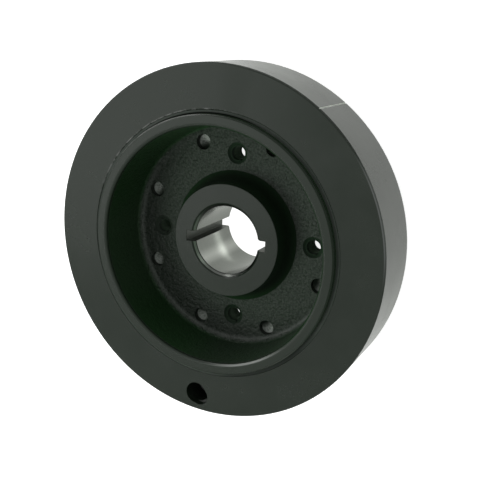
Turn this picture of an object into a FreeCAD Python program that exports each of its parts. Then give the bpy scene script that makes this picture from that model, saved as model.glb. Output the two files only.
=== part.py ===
"""Harmonic balancer: an iron hub, a squeezed rubber ring and an iron inertia ring.

The axis is +Z and the part stands on the end of its rear sleeve, with the
pulley side up. The first bolt hole lies on +Y and the keyways on +X and -X.
"""
import FreeCAD, Part

import os
import re

import Sketcher
from FreeCAD import Placement, Rotation, Vector

SIZES = {
    "ring_diameter": 203.2,
    "ring_width": 41.3,
    "ring_lift": 23.7,
    "ring_chamfer": 0.4,
    "ring_bore_chamfer": 0.3,
    "rubber_thickness": 2.2,
    "rubber_setback": 0.15,
    "hub_diameter": 149.2,
    "rim_proud": 3.2,
    "rim_chamfer": 0.9,
    "rim_wall": 6.6,
    "mouth_chamfer": 1.7,
    "draft_angle": 2.5,
    "web_thickness": 15.0,
    "foot_bevel": 2.8,
    "pad_inset": 10.6,
    "boss_diameter": 67.0,
    "boss_height": 13.6,
    "boss_chamfer": 0.3,
    "boss_fillet": 5.5,
    "sleeve_diameter": 60.3,
    "sleeve_length": 18.0,
    "sleeve_chamfer": 1.2,
    "bore_diameter": 40.64,
    "bore_chamfer": 2.1,
    "key_width": 6.35,
    "key_reach": 25.6,
    "key_count": 2,
    "bolt_circle": 99.0,
    "bolt_drill": 9.4,
    "bolt_sink": 12.6,
    "bolt_count": 4,
    "blind_inset": 9.4,
    "blind_drill": 9.2,
    "blind_depth": 3.2,
    "blind_count": 8,
    "balance_inset": 10.5,
    "balance_angle": 265.2,
    "balance_drill": 13.2,
    "balance_depth": 16.0,
    "trim_inset": 9.0,
    "trim_angle": 266.6,
    "trim_drill": 11.2,
    "trim_depth": 4.0,
    "drill_point": 118.0,
    "mark_angle": 53.4,
    "mark_width": 1.0,
    "mark_depth": 0.5,
}

DERIVED = {
    "rim_back": "ring_lift - rim_proud",
    "ring_front": "ring_lift + ring_width",
    "rim_front": "ring_lift + ring_width + rim_proud",
    "web_front": "sleeve_length + web_thickness",
    "boss_face": "sleeve_length + web_thickness + boss_height",
    "ring_bore": "hub_diameter + 2 * rubber_thickness",
    "mouth_diameter": "hub_diameter - 2 * rim_wall",
    "pad_diameter": "hub_diameter - 2 * pad_inset",
    "blind_circle": "mouth_diameter - 2 * blind_inset",
    "balance_circle": "ring_diameter - 2 * balance_inset",
    "trim_circle": "ring_diameter - 2 * trim_inset",
}

CLOSE = 1e-4


def make_sheet(doc):
    """Write the driving sizes, and those worked out from them, to a sheet."""
    sheet = doc.addObject("Spreadsheet::Sheet", "sizes")
    rows = {name: str(value) for name, value in SIZES.items()}
    rows.update({name: "=" + formula for name, formula in DERIVED.items()})
    for row, (name, content) in enumerate(rows.items(), start=1):
        sheet.set(f"A{row}", name)
        sheet.set(f"B{row}", content)
        sheet.setAlias(f"B{row}", name)
    doc.recompute()
    return sheet


def cell(formula):
    """Turn a formula in size names into one that reads them from the sheet."""
    return re.sub(r"[a-z]\w*_\w+", lambda name: "sizes." + name.group(), formula)


def make_body(doc, label):
    """Add an empty body whose label is the name of its file."""
    body = doc.addObject("PartDesign::Body", label)
    body.Label = label
    body.Placement = Placement()
    return body


def datum(body, role):
    """Find one of the body's own origin planes or axes by its role."""
    return next(item for item in body.Origin.OriginFeatures if item.Role == role)


def add_sketch(body, name, plane, lift=None, turn=None):
    """Attach a sketch to an origin plane, lifted along and turned about its normal."""
    sketch = body.newObject("Sketcher::SketchObject", name)
    sketch.AttachmentSupport = [(datum(body, plane), "")]
    sketch.MapMode = "FlatFace"
    if turn:
        sketch.AttachmentOffset = Placement(Vector(), Rotation(Vector(0, 0, 1), 1))
        sketch.setExpression("AttachmentOffset.Rotation.Angle", cell(turn))
    if lift:
        sketch.setExpression("AttachmentOffset.Base.z", cell(lift))
    return sketch


def hold(sketch, kind, formula, *place):
    """Constrain a size or a distance in the sketch to a formula of the sheet."""
    value = sketch.evalExpression(cell(formula))
    index = sketch.addConstraint(Sketcher.Constraint(kind, *place, value))
    sketch.setExpression(f"Constraints[{index}]", cell(formula))


def add_outline(sketch, corners):
    """Draw a closed outline through (across, up) corners held by their two distances."""
    points = []
    for corner in corners:
        across, up = (sketch.evalExpression(cell(formula)) for formula in corner)
        points.append(Vector(across, up, 0))
    for start, end in zip(points, points[1:] + points[:1]):
        sketch.addGeometry(Part.LineSegment(start, end), False)
    for edge, (across, up) in enumerate(corners):
        before = edge - 1 if edge else len(corners) - 1
        sketch.addConstraint(Sketcher.Constraint("Coincident", before, 2, edge, 1))
        hold(sketch, "DistanceX", across, -1, 1, edge, 1)
        hold(sketch, "DistanceY", up, -1, 1, edge, 1)


def add_circle(sketch, reach, diameter):
    """Draw a circle of a diameter whose centre is held on the sketch's X axis."""
    place = Vector(sketch.evalExpression(cell(reach)), 0, 0)
    size = sketch.evalExpression(cell(diameter))
    sketch.addGeometry(Part.Circle(place, Vector(0, 0, 1), size / 2), False)
    sketch.addConstraint(Sketcher.Constraint("PointOnObject", 0, 3, -1))
    hold(sketch, "DistanceX", reach, -1, 1, 0, 3)
    hold(sketch, "Diameter", diameter, 0)


def revolve(body, sketch):
    """Turn a half section about the vertical axis into a full ring."""
    turned = body.newObject("PartDesign::Revolution", sketch.Name + "_turned")
    turned.Profile = sketch
    turned.ReferenceAxis = (sketch, ["V_Axis"])
    turned.Angle = 360
    sketch.Document.recompute()
    return turned


def circular_edges(feature, places):
    """Name the feature's round edges at given (diameter, height) formulas."""
    wanted = [tuple(feature.evalExpression(cell(formula)) for formula in place) for place in places]
    names = []
    for number, edge in enumerate(feature.Shape.Edges, start=1):
        curve = edge.Curve
        if not isinstance(curve, Part.Circle):
            continue
        for diameter, height in wanted:
            same_size = abs(2 * curve.Radius - diameter) < CLOSE
            if same_size and abs(curve.Center.z - height) < CLOSE:
                names.append(f"Edge{number}")
    return names


def dress(body, kind, name, size, places):
    """Chamfer or fillet the round edges of the body's tip at the given places."""
    base = body.Tip
    feature = body.newObject("PartDesign::" + kind, name)
    feature.Base = (base, circular_edges(base, places))
    feature.setExpression("Size" if kind == "Chamfer" else "Radius", cell(size))
    body.Document.recompute()
    return feature


def drill(body, name, sketch, diameter, depth=None, sink=None):
    """Drill the sketch's circles downwards, through or to a depth, with a countersink."""
    body.Document.recompute()
    hole = body.newObject("PartDesign::Hole", name)
    hole.Profile = sketch
    body.Document.recompute()
    hole.Threaded = False
    hole.setExpression("Diameter", cell(diameter))
    if depth:
        hole.DepthType = "Dimension"
        hole.DrillPoint = "Angled"
        hole.setExpression("Depth", cell(depth))
        hole.setExpression("DrillPointAngle", cell("drill_point"))
    else:
        hole.DepthType = "ThroughAll"
    if sink:
        hole.HoleCutType = "Countersink"
        hole.HoleCutCountersinkAngle = 90
        hole.setExpression("HoleCutDiameter", cell(sink))
    body.Document.recompute()
    return hole


def slot_up(body, name, sketch):
    """Cut the sketch's outline upwards through the whole body."""
    pocket = body.newObject("PartDesign::Pocket", name)
    pocket.Profile = sketch
    pocket.Type = "ThroughAll"
    pocket.Reversed = True
    body.Document.recompute()
    return pocket


def repeat(body, name, feature, count):
    """Repeat a cut evenly round the vertical axis and end the body with the pattern."""
    pattern = body.newObject("PartDesign::PolarPattern", name)
    pattern.Originals = [feature]
    pattern.Axis = (datum(body, "Z_Axis"), [""])
    pattern.Angle = 360
    pattern.setExpression("Occurrences", cell(count))
    body.Tip = pattern
    body.Document.recompute()
    return pattern


def make_hub(doc):
    """Cast hub: rear sleeve, web with its boss, and the deep rim that the rubber grips."""
    body = make_body(doc, "hub")
    section = add_sketch(body, "hub_section", "XZ_Plane")
    add_outline(section, [
        ("bore_diameter / 2", "0"),
        ("sleeve_diameter / 2", "0"),
        ("sleeve_diameter / 2", "sleeve_length"),
        ("pad_diameter / 2", "sleeve_length"),
        ("pad_diameter / 2 + rim_back - sleeve_length", "rim_back"),
        ("hub_diameter / 2", "rim_back"),
        ("hub_diameter / 2", "rim_front"),
        ("mouth_diameter / 2", "rim_front"),
        ("mouth_diameter / 2 - (rim_front - web_front) * tan(draft_angle)", "web_front"),
        ("boss_diameter / 2 + boss_height * tan(draft_angle)", "web_front"),
        ("boss_diameter / 2", "boss_face"),
        ("bore_diameter / 2", "boss_face"),
    ])
    revolve(body, section)

    wall_foot = "mouth_diameter - 2 * (rim_front - web_front) * tan(draft_angle)"
    boss_foot = "boss_diameter + 2 * boss_height * tan(draft_angle)"
    dress(body, "Chamfer", "wall_foot", "foot_bevel", [(wall_foot, "web_front")])
    dress(body, "Fillet", "boss_foot", "boss_fillet", [(boss_foot, "web_front")])
    dress(body, "Chamfer", "mouth_edge", "mouth_chamfer", [("mouth_diameter", "rim_front")])
    dress(body, "Chamfer", "rim_edges", "rim_chamfer",
          [("hub_diameter", "rim_front"), ("hub_diameter", "rim_back")])
    dress(body, "Chamfer", "boss_edge", "boss_chamfer", [("boss_diameter", "boss_face")])
    dress(body, "Chamfer", "bore_mouth", "bore_chamfer", [("bore_diameter", "boss_face")])
    dress(body, "Chamfer", "sleeve_end", "sleeve_chamfer",
          [("sleeve_diameter", "0"), ("bore_diameter", "0")])

    key_outline = add_sketch(body, "key_outline", "XY_Plane")
    add_outline(key_outline, [
        ("0", "-key_width / 2"),
        ("key_reach", "-key_width / 2"),
        ("key_reach", "key_width / 2"),
        ("0", "key_width / 2"),
    ])
    repeat(body, "keyways", slot_up(body, "keyway", key_outline), "key_count")

    bolt_place = add_sketch(body, "bolt_place", "XY_Plane", lift="web_front", turn="90")
    add_circle(bolt_place, "bolt_circle / 2", "bolt_drill")
    bolt_hole = drill(body, "bolt_hole", bolt_place, "bolt_drill", sink="bolt_sink")
    repeat(body, "bolt_holes", bolt_hole, "bolt_count")

    blind_place = add_sketch(body, "blind_place", "XY_Plane",
                             lift="web_front + foot_bevel", turn="90 + 180 / blind_count")
    add_circle(blind_place, "blind_circle / 2", "blind_drill")
    blind_hole = drill(body, "blind_hole", blind_place, "blind_drill",
                       depth="blind_depth + foot_bevel")
    repeat(body, "blind_holes", blind_hole, "blind_count")
    return body


def make_rubber_ring(doc):
    """Rubber strip squeezed between the hub's rim and the inertia ring."""
    body = make_body(doc, "rubber_ring")
    section = add_sketch(body, "rubber_section", "XZ_Plane")
    add_outline(section, [
        ("hub_diameter / 2", "ring_lift + rubber_setback"),
        ("ring_bore / 2", "ring_lift + rubber_setback"),
        ("ring_bore / 2", "ring_front - rubber_setback"),
        ("hub_diameter / 2", "ring_front - rubber_setback"),
    ])
    revolve(body, section)
    return body


def make_inertia_ring(doc):
    """Heavy outer ring with its balance drillings and its timing mark."""
    body = make_body(doc, "inertia_ring")
    section = add_sketch(body, "ring_section", "XZ_Plane")
    add_outline(section, [
        ("ring_bore / 2", "ring_lift"),
        ("ring_diameter / 2", "ring_lift"),
        ("ring_diameter / 2", "ring_front"),
        ("ring_bore / 2", "ring_front"),
    ])
    revolve(body, section)

    dress(body, "Chamfer", "outer_edges", "ring_chamfer",
          [("ring_diameter", "ring_lift"), ("ring_diameter", "ring_front")])
    dress(body, "Chamfer", "bore_edges", "ring_bore_chamfer",
          [("ring_bore", "ring_lift"), ("ring_bore", "ring_front")])

    for name in ("balance", "trim"):
        place = add_sketch(body, name + "_place", "XY_Plane",
                           lift="ring_front", turn=name + "_angle")
        add_circle(place, name + "_circle / 2", name + "_drill")
        drill(body, name + "_hole", place, name + "_drill", depth=name + "_depth")

    mark_outline = add_sketch(body, "mark_outline", "XY_Plane", turn="mark_angle")
    add_outline(mark_outline, [
        ("ring_diameter / 2 - mark_depth", "0"),
        ("ring_diameter / 2 + mark_depth", "-mark_width"),
        ("ring_diameter / 2 + mark_depth", "mark_width"),
    ])
    slot_up(body, "timing_mark", mark_outline)
    return body


def check_model(doc, bodies):
    """Stop if anything failed, if a body isn't one valid solid or if a cut removed nothing."""
    for item in doc.Objects:
        if {"Invalid", "Error"} & set(item.State):
            raise RuntimeError(f"{item.Name} failed: {item.State}")
    for body in bodies:
        shape = body.Shape
        if shape.isNull() or not shape.isValid() or len(shape.Solids) != 1:
            raise RuntimeError(f"{body.Label} is not one valid solid")
        features = [item for item in body.Group if hasattr(item, "AddSubShape")]
        for before, after in zip(features, features[1:]):
            if abs(before.Shape.Volume - after.Shape.Volume) < CLOSE:
                raise RuntimeError(f"{after.Name} changed nothing")


def main():
    """Build the three pieces and write one file for each."""
    doc = FreeCAD.newDocument("harmonic_balancer")
    make_sheet(doc)
    bodies = [make_hub(doc), make_rubber_ring(doc), make_inertia_ring(doc)]
    doc.recompute()
    check_model(doc, bodies)
    os.makedirs("parts", exist_ok=True)
    for body in bodies:
        body.Shape.exportStep(f"parts/{body.Label}.step")


main()
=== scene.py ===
"""Looks of the harmonic balancer: its finishes, its fine forms, the studio and the camera.

The fine forms are the fillet at the foot of the recess's wall, the rounded edge of the recess's
mouth and the thread in the bolt holes. The balancer stands on the end of its sleeve with the pulley
side up. Its axis is +Z, the first bolt hole lies on +Y and the keyways on +X and -X. All lengths
are in metres and angles in degrees.
"""

import logging
import math
from dataclasses import dataclass
from enum import Enum

import bmesh
import bpy
from mathutils import Matrix, Vector


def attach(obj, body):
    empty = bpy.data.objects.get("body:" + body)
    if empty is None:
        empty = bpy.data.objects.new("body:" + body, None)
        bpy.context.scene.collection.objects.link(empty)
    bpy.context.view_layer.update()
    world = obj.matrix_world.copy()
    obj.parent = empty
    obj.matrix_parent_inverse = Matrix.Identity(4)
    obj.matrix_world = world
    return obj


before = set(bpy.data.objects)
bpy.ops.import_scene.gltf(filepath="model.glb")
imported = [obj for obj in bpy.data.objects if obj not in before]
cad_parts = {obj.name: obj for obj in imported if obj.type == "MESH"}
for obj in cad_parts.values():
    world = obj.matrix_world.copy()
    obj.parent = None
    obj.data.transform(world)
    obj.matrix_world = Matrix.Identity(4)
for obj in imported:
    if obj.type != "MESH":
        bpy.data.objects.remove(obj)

LOG = logging.getLogger("harmonic_balancer")
Socket = bpy.types.NodeSocket
Colour = tuple[float, float, float, float]
Source = Socket | float | tuple

WHITE: Colour = (1.0, 1.0, 1.0, 1.0)
FACED_PITCH = 0.00042
TURNED_PITCH = 0.00038
SHARP_ANGLE = 40.0
BEVEL_SAMPLES = 6


class Kind(Enum):
    """What a socket of an effect carries."""

    VALUE = "NodeSocketFloat"
    VECTOR = "NodeSocketVector"


@dataclass(frozen=True)
class HubSizes:
    """Sizes of the hub's solid that its finish and its added pieces follow."""

    bore_radius: float = 0.02032
    boss_radius: float = 0.0335
    boss_face: float = 0.0466
    groove_radius: float = 0.0394
    web_height: float = 0.033
    cast_top: float = 0.0662
    wall_foot: float = 0.066463
    wall_draft: float = 2.5
    mouth_radius: float = 0.068
    rim_edge: float = 0.0741
    rim_front: float = 0.0682
    blind_circle: float = 0.0586
    blind_radius: float = 0.0046
    blind_count: int = 8
    bolt_circle: float = 0.0495
    bolt_count: int = 4


HUB = HubSizes()


@dataclass
class Board:
    """A node tree that is being filled, with short ways to place and join nodes."""

    tree: bpy.types.NodeTree

    def put(self, kind: str, **settings: object) -> bpy.types.Node:
        """Add a node.

        Args:
            kind: the node's type without its Shader prefix, such as TexNoise.
            settings: properties of the node.

        Returns:
            The new node.
        """
        node = self.tree.nodes.new("ShaderNode" + kind)
        for name, value in settings.items():
            setattr(node, name, value)
        return node

    def feed(self, socket: Socket, source: Source) -> None:
        """Link a socket to another one, or write a plain number or colour on it."""
        if isinstance(source, Socket):
            self.tree.links.new(source, socket)
        else:
            socket.default_value = source

    def math(self, operation: str, *terms: Source, clamp: bool = False) -> Socket:
        """Work out a value from up to three terms with one Math node."""
        node = self.put("Math", operation=operation, use_clamp=clamp)
        for socket, term in zip(node.inputs, terms):
            self.feed(socket, term)
        return node.outputs[0]

    def times(self, *factors: Source) -> Socket:
        """Multiply the factors, or keep what all the masks mark."""
        product, *rest = factors
        for factor in rest:
            product = self.math("MULTIPLY", product, factor)
        return product

    def above(self, value: Source, limit: Source) -> Socket:
        """Mark where a value is greater than a limit."""
        return self.math("GREATER_THAN", value, limit)

    def below(self, value: Source, limit: Source) -> Socket:
        """Mark where a value is less than a limit."""
        return self.math("LESS_THAN", value, limit)

    def blend(self, share: Source, low: Source, high: Source) -> Socket:
        """Mix two values by a share from 0 to 1."""
        node = self.put("Mix", data_type="FLOAT")
        for number, source in zip((0, 2, 3), (share, low, high)):
            self.feed(node.inputs[number], source)
        return node.outputs[0]

    def tint(self, share: Source, low: Source, high: Source) -> Socket:
        """Mix two colours by a share from 0 to 1."""
        node = self.put("Mix", data_type="RGBA")
        for number, source in zip((0, 6, 7), (share, low, high)):
            self.feed(node.inputs[number], source)
        return node.outputs[2]

    def ramp(self, value: Source, start: float, end: float) -> Socket:
        """Rise smoothly from 0 to 1 while a value goes from start to end."""
        node = self.put("MapRange", interpolation_type="SMOOTHSTEP")
        for name, source in (("Value", value), ("From Min", start), ("From Max", end)):
            self.feed(node.inputs[name], source)
        return node.outputs["Result"]

    def noise(self, place: Source, scale: float, detail: float = 2.0,
              roughness: float = 0.5) -> Socket:
        """Read a noise pattern at a place."""
        node = self.put("TexNoise")
        self.feed(node.inputs["Vector"], place)
        for name, value in (("Scale", scale), ("Detail", detail), ("Roughness", roughness)):
            node.inputs[name].default_value = value
        return node.outputs["Fac"]


@dataclass(frozen=True)
class Effect:
    """A node group that several finishes place, each with its own values.

    Attributes:
        name: the group's name.
        takes: the inputs and what they carry.
        gives: the outputs and what they carry.
    """

    name: str
    takes: dict[str, Kind]
    gives: dict[str, Kind]

    def start(self) -> tuple[Board, bpy.types.Node, bpy.types.Node]:
        """Make the group with its sockets.

        Returns:
            The board to fill, the group's input node and its output node.
        """
        tree = bpy.data.node_groups.new(self.name, "ShaderNodeTree")
        for in_out, sockets in (("INPUT", self.takes), ("OUTPUT", self.gives)):
            for name, kind in sockets.items():
                tree.interface.new_socket(name=name, in_out=in_out, socket_type=kind.value)
        return Board(tree), tree.nodes.new("NodeGroupInput"), tree.nodes.new("NodeGroupOutput")

    def place(self, board: Board, **sources: Source) -> bpy.types.NodeOutputs:
        """Put the built group on a board.

        Args:
            board: the board of the material.
            sources: what each input takes.

        Returns:
            The outputs of the placed group.
        """
        node = board.put("Group", node_tree=bpy.data.node_groups[self.name])
        for name, source in sources.items():
            board.feed(node.inputs[name], source)
        return node.outputs


def values(*names: str) -> dict[str, Kind]:
    """Name the sockets that carry a plain value."""
    return {name: Kind.VALUE for name in names}


PLACE = {"place": Kind.VECTOR}
ROUND_PLACE = Effect("round_place", PLACE, values("radius", "angle", "height"))
BAND = Effect("band", values("value", "low", "high", "blur"), values("mask"))
SECTOR = Effect("sector", values("angle", "middle", "half", "blur"), values("mask"))
HOLE_CIRCLE = Effect("hole_circle", values("radius", "angle", "circle", "spacing", "first"),
                     values("distance", "outward"))
PAINT_FILM = Effect("paint_film", PLACE, values("height", "mottle"))
CAST_SKIN = Effect("cast_skin", PLACE, values("height"))
LATHE_MARKS = Effect("lathe_marks", PLACE | values("track", "pitch"), values("height", "streaks"))
EDGE_WEAR_AND_SHEEN = Effect("edge_wear_and_sheen", PLACE | values("edge", "amount"), values("mask"))


class Effects:
    """Builds the node groups that the finishes share."""

    def build(self) -> None:
        """Build every group once."""
        self.round_place()
        self.band()
        self.sector()
        self.hole_circle()
        self.paint_film()
        self.cast_skin()
        self.lathe_marks()
        self.edge_wear_and_sheen()

    def round_place(self) -> None:
        """Give a point's distance from the axis, its angle from +X in degrees and its height."""
        board, taken, given = ROUND_PLACE.start()
        split = board.put("SeparateXYZ")
        board.feed(split.inputs[0], taken.outputs["place"])
        across, along, height = split.outputs
        bearing = board.math("ARCTAN2", along, across)
        board.feed(given.inputs["radius"], self.length(board, across, along))
        board.feed(given.inputs["angle"], board.math("DEGREES", bearing))
        board.feed(given.inputs["height"], height)

    def length(self, board: Board, across: Socket, along: Socket) -> Socket:
        """Give the length of a flat vector."""
        squares = board.math("ADD", board.times(across, across), board.times(along, along))
        return board.math("SQRT", squares)

    def band(self) -> None:
        """Give 1 where a value lies between low and high, with edges as wide as blur."""
        board, taken, given = BAND.start()
        value, low, high, blur = (taken.outputs[name] for name in BAND.takes)
        rise = board.math("DIVIDE", board.math("SUBTRACT", value, low), blur)
        fall = board.math("DIVIDE", board.math("SUBTRACT", high, value), blur)
        inside = board.math("MINIMUM", board.math("ADD", rise, 0.5, clamp=True),
                            board.math("ADD", fall, 0.5, clamp=True))
        board.feed(given.inputs["mask"], inside)

    def sector(self) -> None:
        """Give 1 within half degrees of the middle angle, fading over blur degrees."""
        board, taken, given = SECTOR.start()
        angle, middle, half, blur = (taken.outputs[name] for name in SECTOR.takes)
        turned = board.math("WRAP", board.math("SUBTRACT", angle, middle), 180.0, -180.0)
        inside = board.math("SUBTRACT", half, board.math("ABSOLUTE", turned))
        share = board.math("ADD", board.math("DIVIDE", inside, blur), 0.5, clamp=True)
        board.feed(given.inputs["mask"], board.ramp(share, 0.0, 1.0))

    def hole_circle(self) -> None:
        """Give the distance to the nearest of evenly spaced holes, and how far outward of it."""
        board, taken, given = HOLE_CIRCLE.start()
        radius, angle, circle, spacing, first = (taken.outputs[name] for name in HOLE_CIRCLE.takes)
        half = board.times(spacing, 0.5)
        turned = board.math("WRAP", board.math("SUBTRACT", angle, first), half,
                            board.times(half, -1.0))
        bearing = board.math("RADIANS", turned)
        out = board.math("SUBTRACT", board.times(radius, board.math("COSINE", bearing)), circle)
        side = board.times(radius, board.math("SINE", bearing))
        board.feed(given.inputs["distance"], self.length(board, out, side))
        board.feed(given.inputs["outward"], out)

    def paint_film(self) -> None:
        """Give the soft peel of a sprayed film and its uneven tone."""
        board, taken, given = PAINT_FILM.start()
        place = taken.outputs["place"]
        peel = board.noise(place, scale=620.0, detail=2.0, roughness=0.45)
        grit = board.noise(place, scale=2600.0, detail=2.0, roughness=0.6)
        tone = board.noise(place, scale=38.0, detail=5.0, roughness=0.62)
        board.feed(given.inputs["height"], board.math("MULTIPLY_ADD", grit, 0.35, peel))
        board.feed(given.inputs["mottle"], board.ramp(tone, start=0.3, end=0.7))

    def cast_skin(self) -> None:
        """Give the lumps, the sand's grain and the pits of an unmachined casting."""
        board, taken, given = CAST_SKIN.start()
        place = taken.outputs["place"]
        lumps = board.noise(place, scale=260.0, detail=2.0, roughness=0.5)
        sand = board.noise(place, scale=760.0, detail=3.0, roughness=0.6)
        cells = board.put("TexVoronoi", feature="SMOOTH_F1")
        board.feed(cells.inputs["Vector"], place)
        cells.inputs["Scale"].default_value = 430.0
        cells.inputs["Smoothness"].default_value = 0.7
        pits = board.ramp(cells.outputs["Distance"], start=0.35, end=0.75)
        raised = board.math("MULTIPLY_ADD", sand, 0.8, board.times(lumps, 0.35))
        board.feed(given.inputs["height"], board.math("ADD", raised, board.times(pits, -0.3)))

    def lathe_marks(self) -> None:
        """Give a lathe tool's fine grooves, which wander a little and vary from ring to ring."""
        board, taken, given = LATHE_MARKS.start()
        place, track, pitch = (taken.outputs[name] for name in LATHE_MARKS.takes)
        drift = board.times(board.noise(place, scale=45.0, detail=1.0), 0.6)
        turns = board.math("ADD", board.math("DIVIDE", track, pitch), drift)
        wave = board.math("SINE", board.times(turns, math.tau))
        lane = board.put("TexNoise", noise_dimensions="1D")
        board.feed(lane.inputs["W"], turns)
        lane.inputs["Scale"].default_value = 0.7
        lane.inputs["Detail"].default_value = 3.0
        height = board.math("MULTIPLY_ADD", lane.outputs["Fac"], 1.6, board.times(wave, 0.35))
        board.feed(given.inputs["height"], height)
        board.feed(given.inputs["streaks"], lane.outputs["Fac"])

    def edge_wear_and_sheen(self) -> None:
        """Break up the mask of an edge into rubbed spots, which serve as wear and as painted
        highlight.
        """
        board, taken, given = EDGE_WEAR_AND_SHEEN.start()
        place, edge, amount = (taken.outputs[name] for name in EDGE_WEAR_AND_SHEEN.takes)
        pattern = board.noise(place, scale=210.0, detail=4.0, roughness=0.7)
        spots = board.math("ADD", pattern, board.math("SUBTRACT", amount, 1.0))
        board.feed(given.inputs["mask"], board.times(board.ramp(spots, start=-0.06, end=0.1), edge))


@dataclass(frozen=True)
class Span:
    """A stretch of a radius or of a height, with edges as wide as blur."""

    low: float
    high: float
    blur: float

    def mask(self, board: Board, value: Socket) -> Socket:
        """Mark where a value lies in the stretch."""
        return BAND.place(board, value=value, low=self.low, high=self.high, blur=self.blur)["mask"]


@dataclass(frozen=True)
class Wedge:
    """A part of the turn round the axis, which fades over blur degrees at its two ends."""

    middle: float
    half: float
    blur: float

    def mask(self, board: Board, angle: Socket) -> Socket:
        """Mark where an angle lies in the wedge."""
        return SECTOR.place(board, angle=angle, middle=self.middle, half=self.half,
                            blur=self.blur)["mask"]


@dataclass(frozen=True)
class Spot:
    """The point that a material shades.

    Attributes:
        place: its coordinates.
        radius: its distance from the axis.
        angle: where it lies round the axis, from +X.
        height: how far it lies above the sleeve's end.
    """

    place: Socket
    radius: Socket
    angle: Socket
    height: Socket

    @classmethod
    def read(cls, board: Board) -> "Spot":
        """Read the point on the board of a material."""
        place = board.put("TexCoord").outputs["Object"]
        return cls(place, *ROUND_PLACE.place(board, place=place))

    def marks(self, board: Board, track: Socket, pitch: float) -> bpy.types.NodeOutputs:
        """Lay the lathe's grooves along a track."""
        return LATHE_MARKS.place(board, place=self.place, track=track, pitch=pitch)

    def worn_and_lit(self, board: Board, edge: Socket, amount: float) -> Socket:
        """Mark rubbed spots along an edge, which serve as wear and as painted highlight."""
        return EDGE_WEAR_AND_SHEEN.place(board, place=self.place, edge=edge, amount=amount)["mask"]

    def hole(self, board: Board, circle: float, count: int, turn: float) -> bpy.types.NodeOutputs:
        """Measure from the nearest hole of a circle, whose first hole lies at an angle."""
        return HOLE_CIRCLE.place(board, radius=self.radius, angle=self.angle, circle=circle,
                                 spacing=360.0 / count, first=turn)


@dataclass(frozen=True)
class Coat:
    """A sprayed film on turned iron.

    Attributes:
        colour: its darker tone.
        bright: its lighter tone.
        roughness: how rough it is.
        rounding: how far it rounds an edge.
        lathe_relief: how high the lathe's grooves show through it.
        peel_relief: how high its own peel stands.
    """

    colour: Colour = (0.0092, 0.0155, 0.0092, 1.0)
    bright: Colour = (0.0125, 0.019, 0.0125, 1.0)
    roughness: float = 0.25
    rounding: float = 0.0005
    lathe_relief: float = 0.00000022
    peel_relief: float = 0.000006

    def tone(self, board: Board, film: bpy.types.NodeOutputs) -> Socket:
        """Give the film's colour."""
        return board.tint(film["mottle"], self.colour, self.bright)

    def relief(self, board: Board, film: bpy.types.NodeOutputs, marks: Socket) -> Socket:
        """Give the film's height over the grooves of the lathe."""
        peel = board.times(film["height"], self.peel_relief)
        return board.math("MULTIPLY_ADD", marks, self.lathe_relief, peel)


@dataclass(frozen=True)
class Bore:
    """Bare iron in the bore and its keyways, which were cut after the paint had dried.

    Attributes:
        colour: the lighter rings of the turned wall.
        dull: its darker rings.
        highlight_tone: a painted highlight on a strip of the wall.
        slot: the keyways' walls.
        crease: the line where the mouth's chamfer meets the wall.
        roughness: that of the turned wall.
        slot_roughness: that of the keyways' walls.
        relief: the height of the tool's grooves.
        highlight_side: where the painted highlight lies.
        key_half: how far the keyways' mask reaches to each side.
        key_reach: the distances from the axis between which the keyways' mask lies.
        key_top: the height under which it lies.
        paint_edge: the distance from the axis where the paint starts on the chamfer, at most.
        paint_stray: how far the paint's edge strays inward from there.
        crease_reach: where the crease lies from the axis.
        crease_heights: where it lies along the axis.
    """

    colour: Colour = (0.31, 0.325, 0.305, 1.0)
    dull: Colour = (0.16, 0.17, 0.155, 1.0)
    highlight_tone: Colour = (0.44, 0.455, 0.43, 1.0)
    slot: Colour = (0.135, 0.145, 0.132, 1.0)
    crease: Colour = (0.012, 0.014, 0.012, 1.0)
    roughness: float = 0.22
    slot_roughness: float = 0.42
    relief: float = 0.000003
    highlight_side: Wedge = Wedge(-138.0, 9.0, 18.0)
    key_half: float = 0.0034
    key_reach: tuple[float, float] = (HUB.bore_radius + 0.00025, 0.0259)
    key_top: float = HUB.boss_face - 0.0002
    paint_edge: float = 0.022
    paint_stray: float = 0.0008
    crease_reach: Span = Span(0.0202, 0.02062, 0.0001)
    crease_heights: Span = Span(0.0442, 0.0448, 0.0001)

    def slot_mask(self, board: Board, spot: Spot) -> Socket:
        """Mark the walls of the two keyways."""
        split = board.put("SeparateXYZ")
        board.feed(split.inputs[0], spot.place)
        near = board.below(board.math("ABSOLUTE", split.outputs[1]), self.key_half)
        inner, outer = self.key_reach
        return board.times(near, board.above(spot.radius, inner), board.below(spot.radius, outer),
                           board.below(spot.height, self.key_top))

    def mask(self, board: Board, spot: Spot, slot: Socket) -> Socket:
        """Mark the bare iron, up to a ragged edge of paint on the mouth's chamfer."""
        stray = board.noise(spot.place, scale=160.0, detail=3.0)
        edge = board.math("MULTIPLY_ADD", stray, self.paint_stray,
                          self.paint_edge - self.paint_stray)
        return board.math("MAXIMUM", board.below(spot.radius, edge), slot)

    def crease_mask(self, board: Board, spot: Spot) -> Socket:
        """Mark the line where the mouth's chamfer meets the wall."""
        return board.times(self.crease_reach.mask(board, spot.radius),
                           self.crease_heights.mask(board, spot.height))

    def tone(self, board: Board, spot: Spot, slot: Socket, crease: Socket,
             streaks: Socket) -> Socket:
        """Give the iron's colour, with a painted highlight on one strip of the wall."""
        metal = board.tint(streaks, self.dull, self.colour)
        # painted highlight: a lighter strip of the wall
        metal = board.tint(self.highlight_side.mask(board, spot.angle), metal, self.highlight_tone)
        metal = board.tint(slot, metal, self.slot)
        return board.tint(crease, metal, self.crease)


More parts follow.
